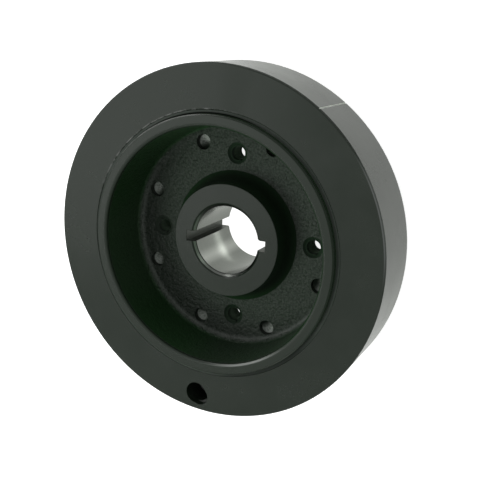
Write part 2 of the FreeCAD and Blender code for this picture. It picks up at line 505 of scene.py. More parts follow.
@dataclass(frozen=True)
class Casting:
    """The recess's wall and the web, which are painted as cast.

    Attributes:
        dark: the darker grains of the web.
        bright: its lighter grains.
        wall: the wall's colour, greener than the web as painted shade.
        wall_lit_left: its lighter colour on the left, which is painted light.
        wall_shaded_bottom: its darker colour at the bottom, which is painted shade.
        foot: a painted highlight on the fillet at its foot.
        foot_highlight_share: how much that painted highlight covers.
        roughness: that of the cast skin.
        web_relief: the height of the skin on the web.
        wall_relief: its height on the wall.
        start: the distances from the axis between which the skin sets in.
        heights: where it lies along the axis.
        wall_rise: the heights between which the wall's colour sets in.
        relief_rise: the heights between which the wall's relief sets in.
        lit_left_side: where the wall has its painted light.
        shaded_bottom_side: where it has its painted shade.
        foot_reach: where that painted highlight lies from the axis.
        foot_top: the height under which it lies.
        foot_lit_side: where it lies round the axis.
    """

    dark: Colour = (0.0048, 0.0128, 0.0054, 1.0)
    bright: Colour = (0.0355, 0.047, 0.0355, 1.0)
    wall: Colour = (0.013, 0.043, 0.0132, 1.0)
    wall_lit_left: Colour = (0.025, 0.051, 0.0245, 1.0)
    wall_shaded_bottom: Colour = (0.0165, 0.034, 0.0168, 1.0)
    foot: Colour = (0.1, 0.112, 0.1, 1.0)
    foot_highlight_share: float = 0.85
    roughness: float = 0.45
    web_relief: float = 0.0011
    wall_relief: float = 0.0005
    start: tuple[float, float] = (HUB.groove_radius - 0.0002, HUB.groove_radius + 0.0001)
    heights: Span = Span(HUB.web_height - 0.0001, HUB.cast_top, 0.0001)
    wall_rise: tuple[float, float] = (HUB.web_height + 0.001, HUB.web_height + 0.003)
    relief_rise: tuple[float, float] = (HUB.web_height + 0.001, HUB.web_height + 0.004)
    lit_left_side: Wedge = Wedge(192.0, 24.0, 24.0)
    shaded_bottom_side: Wedge = Wedge(-70.0, 30.0, 24.0)
    foot_reach: Span = Span(0.0636, 0.065, 0.0014)
    foot_top: float = HUB.web_height + 0.0045
    foot_lit_side: Wedge = Wedge(-120.0, 85.0, 50.0)

    def mask(self, board: Board, spot: Spot) -> Socket:
        """Mark the wall and the web."""
        return board.times(board.ramp(spot.radius, *self.start),
                           self.heights.mask(board, spot.height))

    def tone(self, board: Board, spot: Spot) -> Socket:
        """Give the casting's colour: grainy on the web, greener on the wall as painted shade, lighter
        on its left and darker at its bottom, with a painted highlight at its foot.
        """
        pattern = board.noise(spot.place, scale=880.0, detail=3.0, roughness=0.6)
        casting = board.tint(board.ramp(pattern, start=0.28, end=0.72), self.dark, self.bright)
        # painted light and shade: the wall is lighter on the left and darker at the bottom
        wall = board.tint(self.lit_left_side.mask(board, spot.angle), self.wall, self.wall_lit_left)
        wall = board.tint(self.shaded_bottom_side.mask(board, spot.angle), wall, self.wall_shaded_bottom)
        # painted shade: the wall is greener than the web
        casting = board.tint(board.ramp(spot.height, *self.wall_rise), casting, wall)
        # painted highlight on the fillet at the wall's foot
        foot = board.times(self.foot_reach.mask(board, spot.radius),
                           board.below(spot.height, self.foot_top),
                           self.foot_lit_side.mask(board, spot.angle), self.foot_highlight_share)
        return board.tint(foot, casting, self.foot)

    def relief(self, board: Board, spot: Spot) -> Socket:
        """Give the height of the cast skin."""
        skin = CAST_SKIN.place(board, place=spot.place)["height"]
        upper = board.ramp(spot.height, *self.relief_rise)
        return board.times(skin, board.blend(upper, self.web_relief, self.wall_relief))


@dataclass(frozen=True)
class Rim:
    """The paint on the turned rim and on the edge of the recess's mouth.

    Attributes:
        face: the colour of the rim's front and of the mouth's edge.
        side: the colour of the rim's outer side, where it stands proud of the ring, lighter there as
            painted light.
        rubbed_and_lit: the colour of a painted highlight line on the mouth's edge.
        worn_and_lit: the colour of the rubbed spots on the rim's outer edge, on its lit side only:
            wear and painted highlight.
        spot_amount: how much of that edge is spotted.
        start: the distance from the axis where the rim starts.
        floor: the height where it starts.
        lip_reach: where the painted shade on the mouth's lip lies from the axis.
        lip_floor: the height over which it lies.
        lip_side: where it lies round the axis.
        line_reach: where the mouth's painted highlight line lies from the axis.
        line_floor: the height over which it lies.
        line_side: where it lies round the axis.
        side_start: the distance from the axis where the outer side starts.
        side_lit_heights: where the side's painted light lies along the axis.
        edge_heights: where the outer edge lies along the axis.
        worn_lit_side: where the outer edge is rubbed, on the side where it catches the light.
    """

    face: Colour = (0.0128, 0.0198, 0.0128, 1.0)
    side: Colour = (0.045, 0.058, 0.046, 1.0)
    rubbed_and_lit: Colour = (0.17, 0.18, 0.168, 1.0)
    worn_and_lit: Colour = (0.16, 0.165, 0.155, 1.0)
    spot_amount: float = 0.56
    start: float = HUB.mouth_radius
    floor: float = HUB.cast_top
    lip_reach: Span = Span(0.066, 0.0686, 0.0003)
    lip_floor: float = 0.064
    lip_side: Wedge = Wedge(25.0, 65.0, 30.0)
    line_reach: Span = Span(0.0684, 0.0694, 0.0003)
    line_floor: float = 0.066
    line_side: Wedge = Wedge(-68.0, 14.0, 21.0)
    side_start: float = HUB.rim_edge
    side_lit_heights: Span = Span(0.0648, 0.0669, 0.0008)
    edge_heights: Span = Span(HUB.rim_front - 0.0007, 0.07, 0.0004)
    worn_lit_side: Wedge = Wedge(118.0, 30.0, 30.0)

    def tone(self, board: Board, spot: Spot, paint: Socket, shade: Colour) -> Socket:
        """Tint the paint on the rim, with painted shade and a painted highlight line on the mouth's
        edge, and painted light low on the outer side.
        """
        rim = board.times(board.above(spot.radius, self.start),
                          board.above(spot.height, self.floor))
        paint = board.tint(rim, paint, self.face)
        # painted shade on part of the mouth's lip
        lip = board.times(self.lip_reach.mask(board, spot.radius),
                          board.above(spot.height, self.lip_floor),
                          self.lip_side.mask(board, spot.angle))
        paint = board.tint(lip, paint, shade)
        # painted highlight: a bright line on the mouth's edge
        line = board.times(self.line_reach.mask(board, spot.radius),
                           board.above(spot.height, self.line_floor),
                           self.line_side.mask(board, spot.angle))
        paint = board.tint(line, paint, self.rubbed_and_lit)
        # painted light: the lower part of the rim's outer side is lighter
        side = board.times(board.above(spot.radius, self.side_start),
                           self.side_lit_heights.mask(board, spot.height))
        return board.tint(side, paint, self.side)

    def worn_and_lit_mask(self, board: Board, spot: Spot) -> Socket:
        """Mark the rubbed spots on the lit side of the rim's outer edge: wear and painted highlight.
        """
        # wear and painted highlight: spots only on the lit side of the edge
        edge = board.times(board.above(spot.radius, self.side_start),
                           self.edge_heights.mask(board, spot.height),
                           self.worn_lit_side.mask(board, spot.angle))
        return spot.worn_and_lit(board, edge, self.spot_amount)


@dataclass(frozen=True)
class Holes:
    """The paint in the four bolt holes and in the eight drilled marks of the web.

    Attributes:
        sink: the colour of the countersinks.
        sink_lit_left: that of the one on the left, lighter as painted light.
        lit_left_side: where the left one lies.
        sink_radius: how far the countersinks' mask reaches.
        sink_top: the height under which it lies.
        thread: the colour of the thread deep in the hole, lighter as painted light.
        thread_radius: how far the thread's mask reaches.
        thread_lit_depths: the heights between which that painted light sets in.
        bolt_turn: where the first bolt hole lies round the axis.
        roughness: that of the bolt holes.
        mark_shaded_side: the colour of a mark on the side of the boss, which is painted shade.
        mark_dark: the darker grains of its floor, whose lightness is painted light.
        mark_bright: the lighter grains of its floor.
        mark_lit_fade: how far outward of its middle the painted light of its floor sets in, and is
            full.
        mark_rim: how far from its middle its mask sets in, and is full.
        mark_top: the height under which its mask lies.
        mark_turn: where the first mark lies round the axis.
        mark_roughness: that of the marks.
    """

    sink: Colour = (0.0065, 0.019, 0.0075, 1.0)
    sink_lit_left: Colour = (0.017, 0.028, 0.0175, 1.0)
    lit_left_side: Wedge = Wedge(180.0, 16.0, 8.0)
    sink_radius: float = 0.0066
    sink_top: float = HUB.web_height - 0.00005
    thread: Colour = (0.08, 0.125, 0.078, 1.0)
    thread_radius: float = 0.00485
    thread_lit_depths: tuple[float, float] = (HUB.web_height - 0.002, HUB.web_height - 0.006)
    bolt_turn: float = 0.0
    roughness: float = 0.8
    mark_shaded_side: Colour = (0.012, 0.021, 0.0125, 1.0)
    mark_dark: Colour = (0.135, 0.16, 0.135, 1.0)
    mark_bright: Colour = (0.32, 0.352, 0.315, 1.0)
    mark_lit_fade: tuple[float, float] = (-0.003, 0.0012)
    mark_rim: tuple[float, float] = (HUB.blind_radius - 0.0001, HUB.blind_radius - 0.0008)
    mark_top: float = HUB.web_height - 0.00025
    mark_turn: float = 22.5
    mark_roughness: float = 0.4

    def bolt_masks(self, board: Board, spot: Spot) -> tuple[Socket, Socket]:
        """Mark the countersinks of the bolt holes, and the tapped walls under them."""
        distance = spot.hole(board, HUB.bolt_circle, HUB.bolt_count, self.bolt_turn)["distance"]
        sunk = board.times(board.below(spot.height, self.sink_top),
                           board.below(distance, self.sink_radius))
        tapped = board.times(board.ramp(spot.height, *self.thread_lit_depths),
                             board.below(distance, self.thread_radius))
        return sunk, tapped

    def mark_masks(self, board: Board, spot: Spot) -> tuple[Socket, Socket]:
        """Mark the drilled marks, and their side away from the boss, which gets painted light."""
        hole = spot.hole(board, HUB.blind_circle, HUB.blind_count, self.mark_turn)
        drilled = board.times(board.below(spot.height, self.mark_top),
                              board.ramp(hole["distance"], *self.mark_rim))
        return drilled, board.ramp(hole["outward"], *self.mark_lit_fade)

    def tone_bolts(self, board: Board, spot: Spot, paint: Socket, sunk: Socket,
                   tapped: Socket) -> Socket:
        """Tint the paint in the bolt holes, with painted light on the left countersink and deep on the
        thread.
        """
        # painted light: the left countersink is lighter
        left = self.lit_left_side.mask(board, spot.angle)
        paint = board.tint(sunk, paint, board.tint(left, self.sink, self.sink_lit_left))
        # painted light: the thread is lighter deep in the hole
        return board.tint(tapped, paint, self.thread)

    def tone_marks(self, board: Board, spot: Spot, paint: Socket, drilled: Socket,
                   lit: Socket) -> Socket:
        """Tint the paint in the drilled marks: painted shade on the boss's side, a light grainy floor
        as painted light on the other.
        """
        pattern = board.noise(spot.place, scale=900.0, detail=3.0, roughness=0.7)
        speckle = board.ramp(pattern, start=0.36, end=0.62)
        # painted light and shade: the floor is light away from the boss and dark towards it
        floor = board.tint(speckle, self.mark_dark, self.mark_bright)
        return board.tint(drilled, paint, board.tint(lit, self.mark_shaded_side, floor))


@dataclass(frozen=True)
class Groove:
    """The boss's side and the band round its foot: painted shade, with a relief that falls away
    outward.

    Attributes:
        colour: its dark paint, which is painted shade.
        roughness: how rough the paint is.
        steepness: how fast its floor falls away outward.
        inner_radius: where the fall starts.
        reach: where it lies from the axis.
        heights: where it lies along the axis.
    """

    colour: Colour = (0.0045, 0.0235, 0.005, 1.0)
    roughness: float = 0.7
    steepness: float = -1.4
    inner_radius: float = HUB.boss_radius
    reach: Span = Span(HUB.boss_radius - 0.0002, HUB.groove_radius, 0.0001)
    heights: Span = Span(HUB.web_height - 0.0006, HUB.boss_face - 0.0003, 0.0001)

    def mask(self, board: Board, spot: Spot) -> Socket:
        """Mark the boss's side and the band."""
        return board.times(self.heights.mask(board, spot.height),
                           self.reach.mask(board, spot.radius))

    def relief(self, board: Board, spot: Spot) -> Socket:
        """Give the fall of the groove's floor."""
        return board.times(board.math("SUBTRACT", spot.radius, self.inner_radius), self.steepness)


@dataclass(frozen=True)
class HubFinish:
    """Black paint on the hub: smooth where turned, rough where cast, and none in the bore."""

    coat: Coat = Coat()
    bore: Bore = Bore()
    casting: Casting = Casting()
    groove: Groove = Groove()
    holes: Holes = Holes()
    rim: Rim = Rim()

    def build(self) -> bpy.types.Material:
        """Build the hub's material."""
        material, board, shader = new_material("hub_paint")
        spot = Spot.read(board)
        film = PAINT_FILM.place(board, place=spot.place)
        faced = spot.marks(board, spot.radius, FACED_PITCH)
        turned = spot.marks(board, spot.height, TURNED_PITCH)

        cast = self.casting.mask(board, spot)
        groove = self.groove.mask(board, spot)
        slot = self.bore.slot_mask(board, spot)
        bare = self.bore.mask(board, spot, slot)
        crease = self.bore.crease_mask(board, spot)
        drilled, lit = self.holes.mark_masks(board, spot)
        sunk, tapped = self.holes.bolt_masks(board, spot)

        # the rim's tone adds painted shade on the mouth's lip, a painted highlight line and painted
        # light low on the outer side
        paint = self.rim.tone(board, spot, self.coat.tone(board, film), self.groove.colour)
        paint = board.tint(cast, paint, self.casting.tone(board, spot))
        # painted shade: the groove's dark colour
        paint = board.tint(groove, paint, self.groove.colour)
        paint = self.holes.tone_bolts(board, spot, paint, sunk, tapped)
        paint = self.holes.tone_marks(board, spot, paint, drilled, lit)
        # wear and painted highlight: rubbed spots on the rim's lit outer edge
        paint = board.tint(self.rim.worn_and_lit_mask(board, spot), paint, self.rim.worn_and_lit)
        metal = self.bore.tone(board, spot, slot, crease, turned["streaks"])
        board.feed(shader.inputs["Base Color"], board.tint(bare, paint, metal))

        rough = board.blend(cast, self.coat.roughness, self.casting.roughness)
        rough = board.blend(drilled, rough, self.holes.mark_roughness)
        rough = board.blend(groove, rough, self.groove.roughness)
        rough = board.blend(board.math("MAXIMUM", sunk, tapped), rough, self.holes.roughness)
        metal_rough = board.blend(slot, self.bore.roughness, self.bore.slot_roughness)
        board.feed(shader.inputs["Roughness"], board.blend(bare, rough, metal_rough))
        board.feed(shader.inputs["Metallic"],
                   board.times(bare, board.math("SUBTRACT", 1.0, crease)))

        relief = board.blend(cast, self.coat.relief(board, film, faced["height"]),
                             self.casting.relief(board, spot))
        relief = board.blend(groove, relief, self.groove.relief(board, spot))
        relief = board.blend(bare, relief, board.times(turned["height"], self.bore.relief))
        add_relief(board, shader, relief, self.coat.rounding)
        return material


@dataclass(frozen=True)
class RingFinish:
    """Black paint over the turned inertia ring, rubbed and lit at its inner edge, with a painted
    highlight on its outer edge and scribed bright.

    Attributes:
        coat: the paint.
        front: the height of the ring's front face.
        inner_radius: the radius of its bore.
        outer_radius: its outer radius.
        scribed: the colour of the timing mark.
        scribed_roughness: how rough the timing mark is.
        mark_side: where the timing mark lies round the axis.
        mark_reach: where it lies from the axis.
        mark_top: the height under which it lies.
        rubbed_and_lit: the colour of the rubbed spots on the inner edge, on its lit side only: wear
            and painted highlight.
        spot_amount: how much of that edge is spotted.
        edge_reach: where the inner edge lies from the axis.
        edge_floor: the height over which it lies.
        edge_lit_side: where it is rubbed, on the side where it catches the light.
        clouded: the lighter clouds of the outer face.
        outer_start: the distance from the axis where the outer face starts.
        lip: the colour of a painted highlight on the outer front edge.
        lip_reach: where that edge lies from the axis.
        lip_heights: where it lies along the axis.
        lip_side: where that painted highlight lies.
        uneven: how much the paint's roughness varies.
        fall_width: how far from the outer front edge the lathe's file reached.
        fall_full: how far on it cut full depth.
        fall_depth: how deep it cut there.
        fall_share: what part of that depth it cut all round.
        fall_side: where it cut full depth.
    """

    coat: Coat = Coat()
    front: float = 0.065
    inner_radius: float = 0.0768
    outer_radius: float = 0.1016
    scribed: Colour = (0.85, 0.86, 0.82, 1.0)
    scribed_roughness: float = 0.5
    mark_side: Wedge = Wedge(53.4, 0.36, 0.05)
    mark_reach: Span = Span(outer_radius - 0.0008, outer_radius - 0.00003, 0.00002)
    mark_top: float = front - 0.0012
    rubbed_and_lit: Colour = (0.13, 0.135, 0.128, 1.0)
    spot_amount: float = 0.52
    edge_reach: Span = Span(inner_radius - 0.0006, inner_radius + 0.0006, 0.0005)
    edge_floor: float = front - 0.001
    edge_lit_side: Wedge = Wedge(120.0, 36.0, 24.0)
    clouded: Colour = (0.017, 0.0235, 0.017, 1.0)
    outer_start: float = outer_radius - 0.0009
    lip: Colour = (0.078, 0.084, 0.08, 1.0)
    lip_reach: Span = Span(outer_radius - 0.0012, 0.11, 0.0003)
    lip_heights: Span = Span(front - 0.0005, 0.07, 0.0003)
    lip_side: Wedge = Wedge(17.0, 15.0, 16.0)
    uneven: float = 0.05
    fall_width: float = 0.0012
    fall_full: float = 0.0009
    fall_depth: float = 0.00045
    fall_share: float = 0.15
    fall_side: Wedge = Wedge(60.0, 22.0, 14.0)

    def build(self) -> bpy.types.Material:
        """Build the ring's material."""
        material, board, shader = new_material("ring_paint")
        spot = Spot.read(board)
        film = PAINT_FILM.place(board, place=spot.place)
        faced = spot.marks(board, spot.radius, FACED_PITCH)
        turned = spot.marks(board, spot.height, TURNED_PITCH)
        outer = board.above(spot.radius, self.outer_start)
        scribed = board.times(self.mark_side.mask(board, spot.angle),
                              self.mark_reach.mask(board, spot.radius),
                              board.below(spot.height, self.mark_top))

        paint = self.tone(board, spot, self.coat.tone(board, film), outer)
        board.feed(shader.inputs["Base Color"], board.tint(scribed, paint, self.scribed))
        rough = board.math("MULTIPLY_ADD", film["mottle"], self.uneven, self.coat.roughness - 0.02)
        board.feed(shader.inputs["Roughness"], board.blend(scribed, rough, self.scribed_roughness))
        marks = board.blend(outer, faced["height"], turned["height"])
        relief = board.math("SUBTRACT", self.coat.relief(board, film, marks),
                            self.edge_fall(board, spot))
        add_relief(board, shader, relief, self.coat.rounding)
        return material

    def tone(self, board: Board, spot: Spot, paint: Socket, outer: Socket) -> Socket:
        """Tint the paint: rubbed and lit spots on the inner edge, clouds on the outer face and a
        painted highlight on the outer front edge.
        """
        # wear and painted highlight: rubbed spots on the lit side of the inner edge
        edge = board.times(self.edge_reach.mask(board, spot.radius),
                           board.above(spot.height, self.edge_floor),
                           self.edge_lit_side.mask(board, spot.angle))
        paint = board.tint(spot.worn_and_lit(board, edge, self.spot_amount), paint, self.rubbed_and_lit)
        pattern = board.noise(spot.place, scale=52.0, detail=4.0, roughness=0.55)
        cloud = board.ramp(pattern, start=0.35, end=0.7)
        paint = board.tint(board.times(outer, cloud), paint, self.clouded)
        # painted highlight on the outer front edge
        lip = board.times(self.lip_reach.mask(board, spot.radius),
                          self.lip_heights.mask(board, spot.height),
                          self.lip_side.mask(board, spot.angle))
        return board.tint(lip, paint, self.lip)

    def edge_fall(self, board: Board, spot: Spot) -> Socket:
        """Give how far the lathe's file let the ring's outer front edge fall away."""
        falls = []
        for value, edge in ((spot.radius, self.outer_radius), (spot.height, self.front)):
            depth = board.math("SUBTRACT", value, edge - self.fall_width)
            share = board.math("DIVIDE", depth, self.fall_full, clamp=True)
            falls.append(board.times(share, share, self.fall_depth))
        round_share = board.math("MULTIPLY_ADD", self.fall_side.mask(board, spot.angle),
                                 1.0 - self.fall_share, self.fall_share)
        return board.times(board.math("ADD", *falls), round_share)


@dataclass(frozen=True)
class RubberFinish:
    """Dull black rubber with a fine grain, the overspray of the paint and painted shade in the gap
    beside the hub.

    Attributes:
        colour: the rubber's darker tone.
        bloom: its lighter tone.
        crease: the colour of the gap's shaded parts.
        strip_pale: the paler colour of the strip beside the hub, where it has no painted shade.
        roughness: that of the rubber's flush part.
        strip_roughness: that of the strip beside the hub.
        specular: the level of its gloss.
        inner_radius: the radius of the joint with the hub.
        outer_radius: the radius of the joint with the inertia ring.
        flush_reach: where the flush part lies from the axis.
        stray: how far the flush part's edge strays.
        far_side: where the gap has painted shade and a sunk relief.
        shaded_bottom_side: where the whole strip has painted shade.
        bottom_share: how much it is shaded there.
        sink: how deep the gap falls on the far side.
        grain: the height of the rubber's grain.
        rounding: how far its edges are rounded.
    """

    colour: Colour = (0.03, 0.039, 0.031, 1.0)
    bloom: Colour = (0.045, 0.054, 0.046, 1.0)
    crease: Colour = (0.006, 0.0085, 0.006, 1.0)
    strip_pale: Colour = (0.05, 0.062, 0.051, 1.0)
    roughness: float = 0.55
    strip_roughness: float = 0.9
    specular: float = 0.3
    inner_radius: float = 0.0746
    outer_radius: float = 0.0768
    flush_reach: Span = Span(inner_radius + 0.0009, outer_radius + 0.0001, 0.0003)
    stray: float = 0.0006
    far_side: Wedge = Wedge(135.0, 62.0, 24.0)
    shaded_bottom_side: Wedge = Wedge(-60.0, 24.0, 22.0)
    bottom_share: float = 0.85
    sink: float = -0.0009
    grain: float = 0.00003
    rounding: float = 0.0002

    def build(self) -> bpy.types.Material:
        """Build the rubber's material."""
        material, board, shader = new_material("rubber")
        spot = Spot.read(board)
        grain = board.noise(spot.place, scale=1800.0, detail=3.0, roughness=0.6)
        pattern = board.noise(spot.place, scale=90.0, detail=4.0, roughness=0.6)
        strayed = board.math("MULTIPLY_ADD", board.noise(spot.place, scale=60.0), self.stray,
                             spot.radius)
        flush = self.flush_reach.mask(board, strayed)
        far = self.far_side.mask(board, spot.angle)
        bottom = board.times(self.shaded_bottom_side.mask(board, spot.angle), self.bottom_share)

        sprayed = board.tint(board.ramp(pattern, start=0.35, end=0.75), self.colour, self.bloom)
        # painted shade: the strip beside the hub is dark on the far side, and the whole strip at the
        # bottom
        strip = board.tint(flush, board.tint(far, self.strip_pale, self.crease), sprayed)
        board.feed(shader.inputs["Base Color"], board.tint(bottom, strip, self.crease))
        rough = board.blend(flush, self.strip_roughness, self.roughness)
        board.feed(shader.inputs["Roughness"], rough)
        shader.inputs["Specular IOR Level"].default_value = self.specular
        sunk = board.times(far, board.ramp(spot.radius, self.flush_reach.low, self.inner_radius))
        relief = board.math("MULTIPLY_ADD", sunk, self.sink, board.times(grain, self.grain))
        add_relief(board, shader, relief, self.rounding)
        return material


def new_material(name: str) -> tuple[bpy.types.Material, Board, bpy.types.Node]:
    """Make a material.

    Args:
        name: the material's name.

    Returns:
        The material, its board and its Principled shader.
    """
    material = bpy.data.materials.new(name)
    material.use_nodes = True
    return material, Board(material.node_tree), material.node_tree.nodes["Principled BSDF"]


def add_relief(board: Board, shader: bpy.types.Node, height: Socket, rounding: float) -> None:
    """Turn a height in metres into the shader's normal.

    Args:
        board: the board of the material.
        shader: the shader that takes the normal.
        height: the height of the surface over the mesh.
        rounding: the radius to which the film rounds the edges under it.
    """
    softened = board.put("Bevel", samples=BEVEL_SAMPLES)
    softened.inputs["Radius"].default_value = rounding
    bump = board.put("Bump")
    bump.inputs["Strength"].default_value = 1.0
    bump.inputs["Distance"].default_value = 1.0
    board.feed(bump.inputs["Height"], height)
    board.feed(bump.inputs["Normal"], softened.outputs["Normal"])
    board.feed(shader.inputs["Normal"], bump.outputs["Normal"])


def new_object(name: str, mesh: bmesh.types.BMesh) -> bpy.types.Object:
    """Turn a bmesh into an object of the scene; the bmesh is used up."""
    data = bpy.data.meshes.new(name)
    mesh.to_mesh(data)
    mesh.free()
    made = bpy.data.objects.new(name, data)
    bpy.context.collection.objects.link(made)
    return made


def drill(body: bmesh.types.BMesh, tools: bmesh.types.BMesh) -> bmesh.types.BMesh:
    """Cut one shape out of another.

    Args:
        body: the shape that is cut; it is used up.
        tools: the shapes that cut it; they are used up.

    Returns:
        What is left of the body.
    """
    solids = []
    for name, mesh in (("body", body), ("tools", tools)):
        bmesh.ops.recalc_face_normals(mesh, faces=mesh.faces)
        solids.append(new_object(name, mesh))
    cut = solids[0].modifiers.new("cut", "BOOLEAN")
    cut.operation, cut.solver, cut.object = "DIFFERENCE", "EXACT", solids[1]
    left = bmesh.new()
    left.from_object(solids[0], bpy.context.evaluated_depsgraph_get())
    for data in [solid.data for solid in solids]:
        bpy.data.meshes.remove(data)
    return left


def paint_node(name: str, material: bpy.types.Material) -> None:
    """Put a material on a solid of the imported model."""
    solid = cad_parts[name]
    for slot in solid.material_slots:
        slot.material = material


def finish_piece(name: str, mesh: bmesh.types.BMesh, material: bpy.types.Material) -> bpy.types.Object:
    """Turn a bmesh into a piece that rides on the balancer.

    Args:
        name: the piece's name.
        mesh: its shape, in the row's frame; it is used up.
        material: its finish.

    Returns:
        The piece.
    """
    bmesh.ops.recalc_face_normals(mesh, faces=mesh.faces)
    piece = new_object(name, mesh)
    piece.data.materials.append(material)
    piece.data.shade_smooth()
    piece.data.set_sharp_from_angle(angle=math.radians(SHARP_ANGLE))
    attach(piece, "root")
    return piece


@dataclass
class Hub:
    """The cast hub, the rounds at its wall's foot and mouth, and the thread in its bolt holes.

    Attributes:
        finish: the hub's paint and its bare iron.
        pitch: the height of one turn of the thread.
        thread_bottom: the height where the thread starts.
        thread_top: the height where it ends.
        crest_radius: the thread's inner radius.
        root_radius: its outer radius, sunk in the drilled wall.
        crest_share: half the width of the crest, as a share of the pitch.
        root_share: half the width of the ridge's foot, as a share of the pitch.
        steps_a_turn: how many faces long one turn of the thread is.
        fillet_radius: the radius of the fillet at the wall's foot.
        mouth_rounding: the radius of the mouth's edge.
        arc_steps: how many faces long each arc is.
        spin_steps: how many faces one turn of a round has.
        sunk: how far a round's ends lie under the surface that they meet.
        wall_gap: how far a round's back lies behind the wall.
        back_radius: the distance from the axis of the fillet's back.
        back_rise: how far a round's back goes on along the wall.
        back_depth: how deep the back lies under the flat face.
        back_step: how far the back goes on along the flat face.
        back_slip: how deep the back's end lies under the flat face.
        drill_height: the height of the middle of the drills that clear the marks.
        drill_length: how long those drills are.
        drill_steps: how many faces they have.
    """

    finish: HubFinish = HubFinish()
    pitch: float = 0.0015875
    thread_bottom: float = 0.0182
    thread_top: float = 0.0322
    crest_radius: float = 0.004
    root_radius: float = 0.00476
    crest_share: float = 0.08
    root_share: float = 0.44
    steps_a_turn: int = 32
    fillet_radius: float = 0.005
    mouth_rounding: float = 0.0018
    arc_steps: int = 12
    spin_steps: int = 128
    sunk: float = 0.00003
    wall_gap: float = 0.00005
    back_radius: float = 0.0682
    back_rise: float = 0.001
    back_depth: float = 0.0008
    back_step: float = 0.0011
    back_slip: float = 0.00008
    drill_height: float = 0.038
    drill_length: float = 0.014
    drill_steps: int = 48

    def build(self) -> list[bpy.types.Object]:
        """Dress the hub, round its wall's foot and mouth, and thread its bolt holes.

        Returns:
            The hub's solid, the fillet, the rounded mouth and the thread.
        """
        material = self.finish.build()
        paint_node("hub", material)
        thread = bmesh.new()
        for number in range(HUB.bolt_count):
            self.add_thread(thread, number * math.tau / HUB.bolt_count)
        fillet = drill(self.spin_fillet(), self.mark_drills())
        return [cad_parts["hub"], finish_piece("wall_fillet", fillet, material),
                finish_piece("mouth_round", self.spin_mouth(), material),
                finish_piece("bolt_threads", thread, material)]

    def spin_fillet(self) -> bmesh.types.BMesh:
        """Spin the cast fillet between the web and the recess's wall, its back sunk in both."""
        lean = math.radians(HUB.wall_draft)
        web = HUB.web_height
        top = web + self.fillet_radius
        reach = self.fillet_radius * math.tan((math.pi / 2 - lean) / 2)
        middle = Vector((HUB.wall_foot - reach + self.sunk, 0.0, top - self.sunk))
        high = top + self.back_rise
        wall = HUB.wall_foot + math.tan(lean) * (high - web) + self.wall_gap
        end = middle.x - self.back_step
        back = [(wall, high), (self.back_radius, top), (self.back_radius, web - self.back_depth),
                (end, web - self.back_depth), (end, web - self.back_slip)]
        return self.spin_round(middle, -self.fillet_radius, back)

    def spin_mouth(self) -> bmesh.types.BMesh:
        """Spin the rounded edge of the recess's mouth, its back sunk in the rim."""
        lean = math.radians(HUB.wall_draft)
        front = HUB.rim_front
        reach = self.mouth_rounding / math.tan((math.pi / 2 + lean) / 2)
        middle = Vector((HUB.mouth_radius + reach + self.sunk, 0.0,
                         front - self.mouth_rounding - self.sunk))
        low = middle.z - self.back_rise
        wall = HUB.mouth_radius - math.tan(lean) * (front - low) + self.wall_gap
        end = middle.x + self.back_step
        back = [(wall, low), (middle.x, low), (end, front - self.back_depth),
                (end, front - self.back_slip)]
        return self.spin_round(middle, self.mouth_rounding, back)

    def spin_round(self, middle: Vector, rise: float,
                   back: list[tuple[float, float]]) -> bmesh.types.BMesh:
        """Spin a quarter arc that meets the drafted wall, closed by a sunk back.

        Args:
            middle: the arc's centre.
            rise: the arc's radius, from its centre up or down to its start.
            back: the corners from the arc's end back to its start, as radius and height.

        Returns:
            The spun shape.
        """
        ring = bmesh.new()
        start = ring.verts.new(middle + Vector((0.0, 0.0, rise)))
        spun = bmesh.ops.spin(ring, geom=[start], cent=middle, axis=(0, -1, 0),
                              angle=math.pi / 2 - math.radians(HUB.wall_draft),
                              steps=self.arc_steps)
        end = next(item for item in spun["geom_last"] if isinstance(item, bmesh.types.BMVert))
        corners = [ring.verts.new((radius, 0.0, height)) for radius, height in back]
        loop = [end, *corners, start]
        for one, other in zip(loop, loop[1:]):
            ring.edges.new((one, other))
        bmesh.ops.spin(ring, geom=ring.verts[:] + ring.edges[:], cent=(0, 0, 0), axis=(0, 0, 1),
                       angle=math.tau, steps=self.spin_steps, use_merge=True)
        return ring

    def mark_drills(self) -> bmesh.types.BMesh:
        """Set up the drills that keep the marks clear of the fillet."""
        drills = bmesh.new()
        spacing = 360.0 / HUB.blind_count
        middle = Matrix.Translation((HUB.blind_circle, 0.0, self.drill_height))
        for number in range(HUB.blind_count):
            angle = self.finish.holes.mark_turn + spacing * number
            bmesh.ops.create_cone(drills, cap_ends=True, segments=self.drill_steps,
                                  radius1=HUB.blind_radius, radius2=HUB.blind_radius,
                                  depth=self.drill_length,
                                  matrix=Matrix.Rotation(math.radians(angle), 4, "Z") @ middle)
        return drills

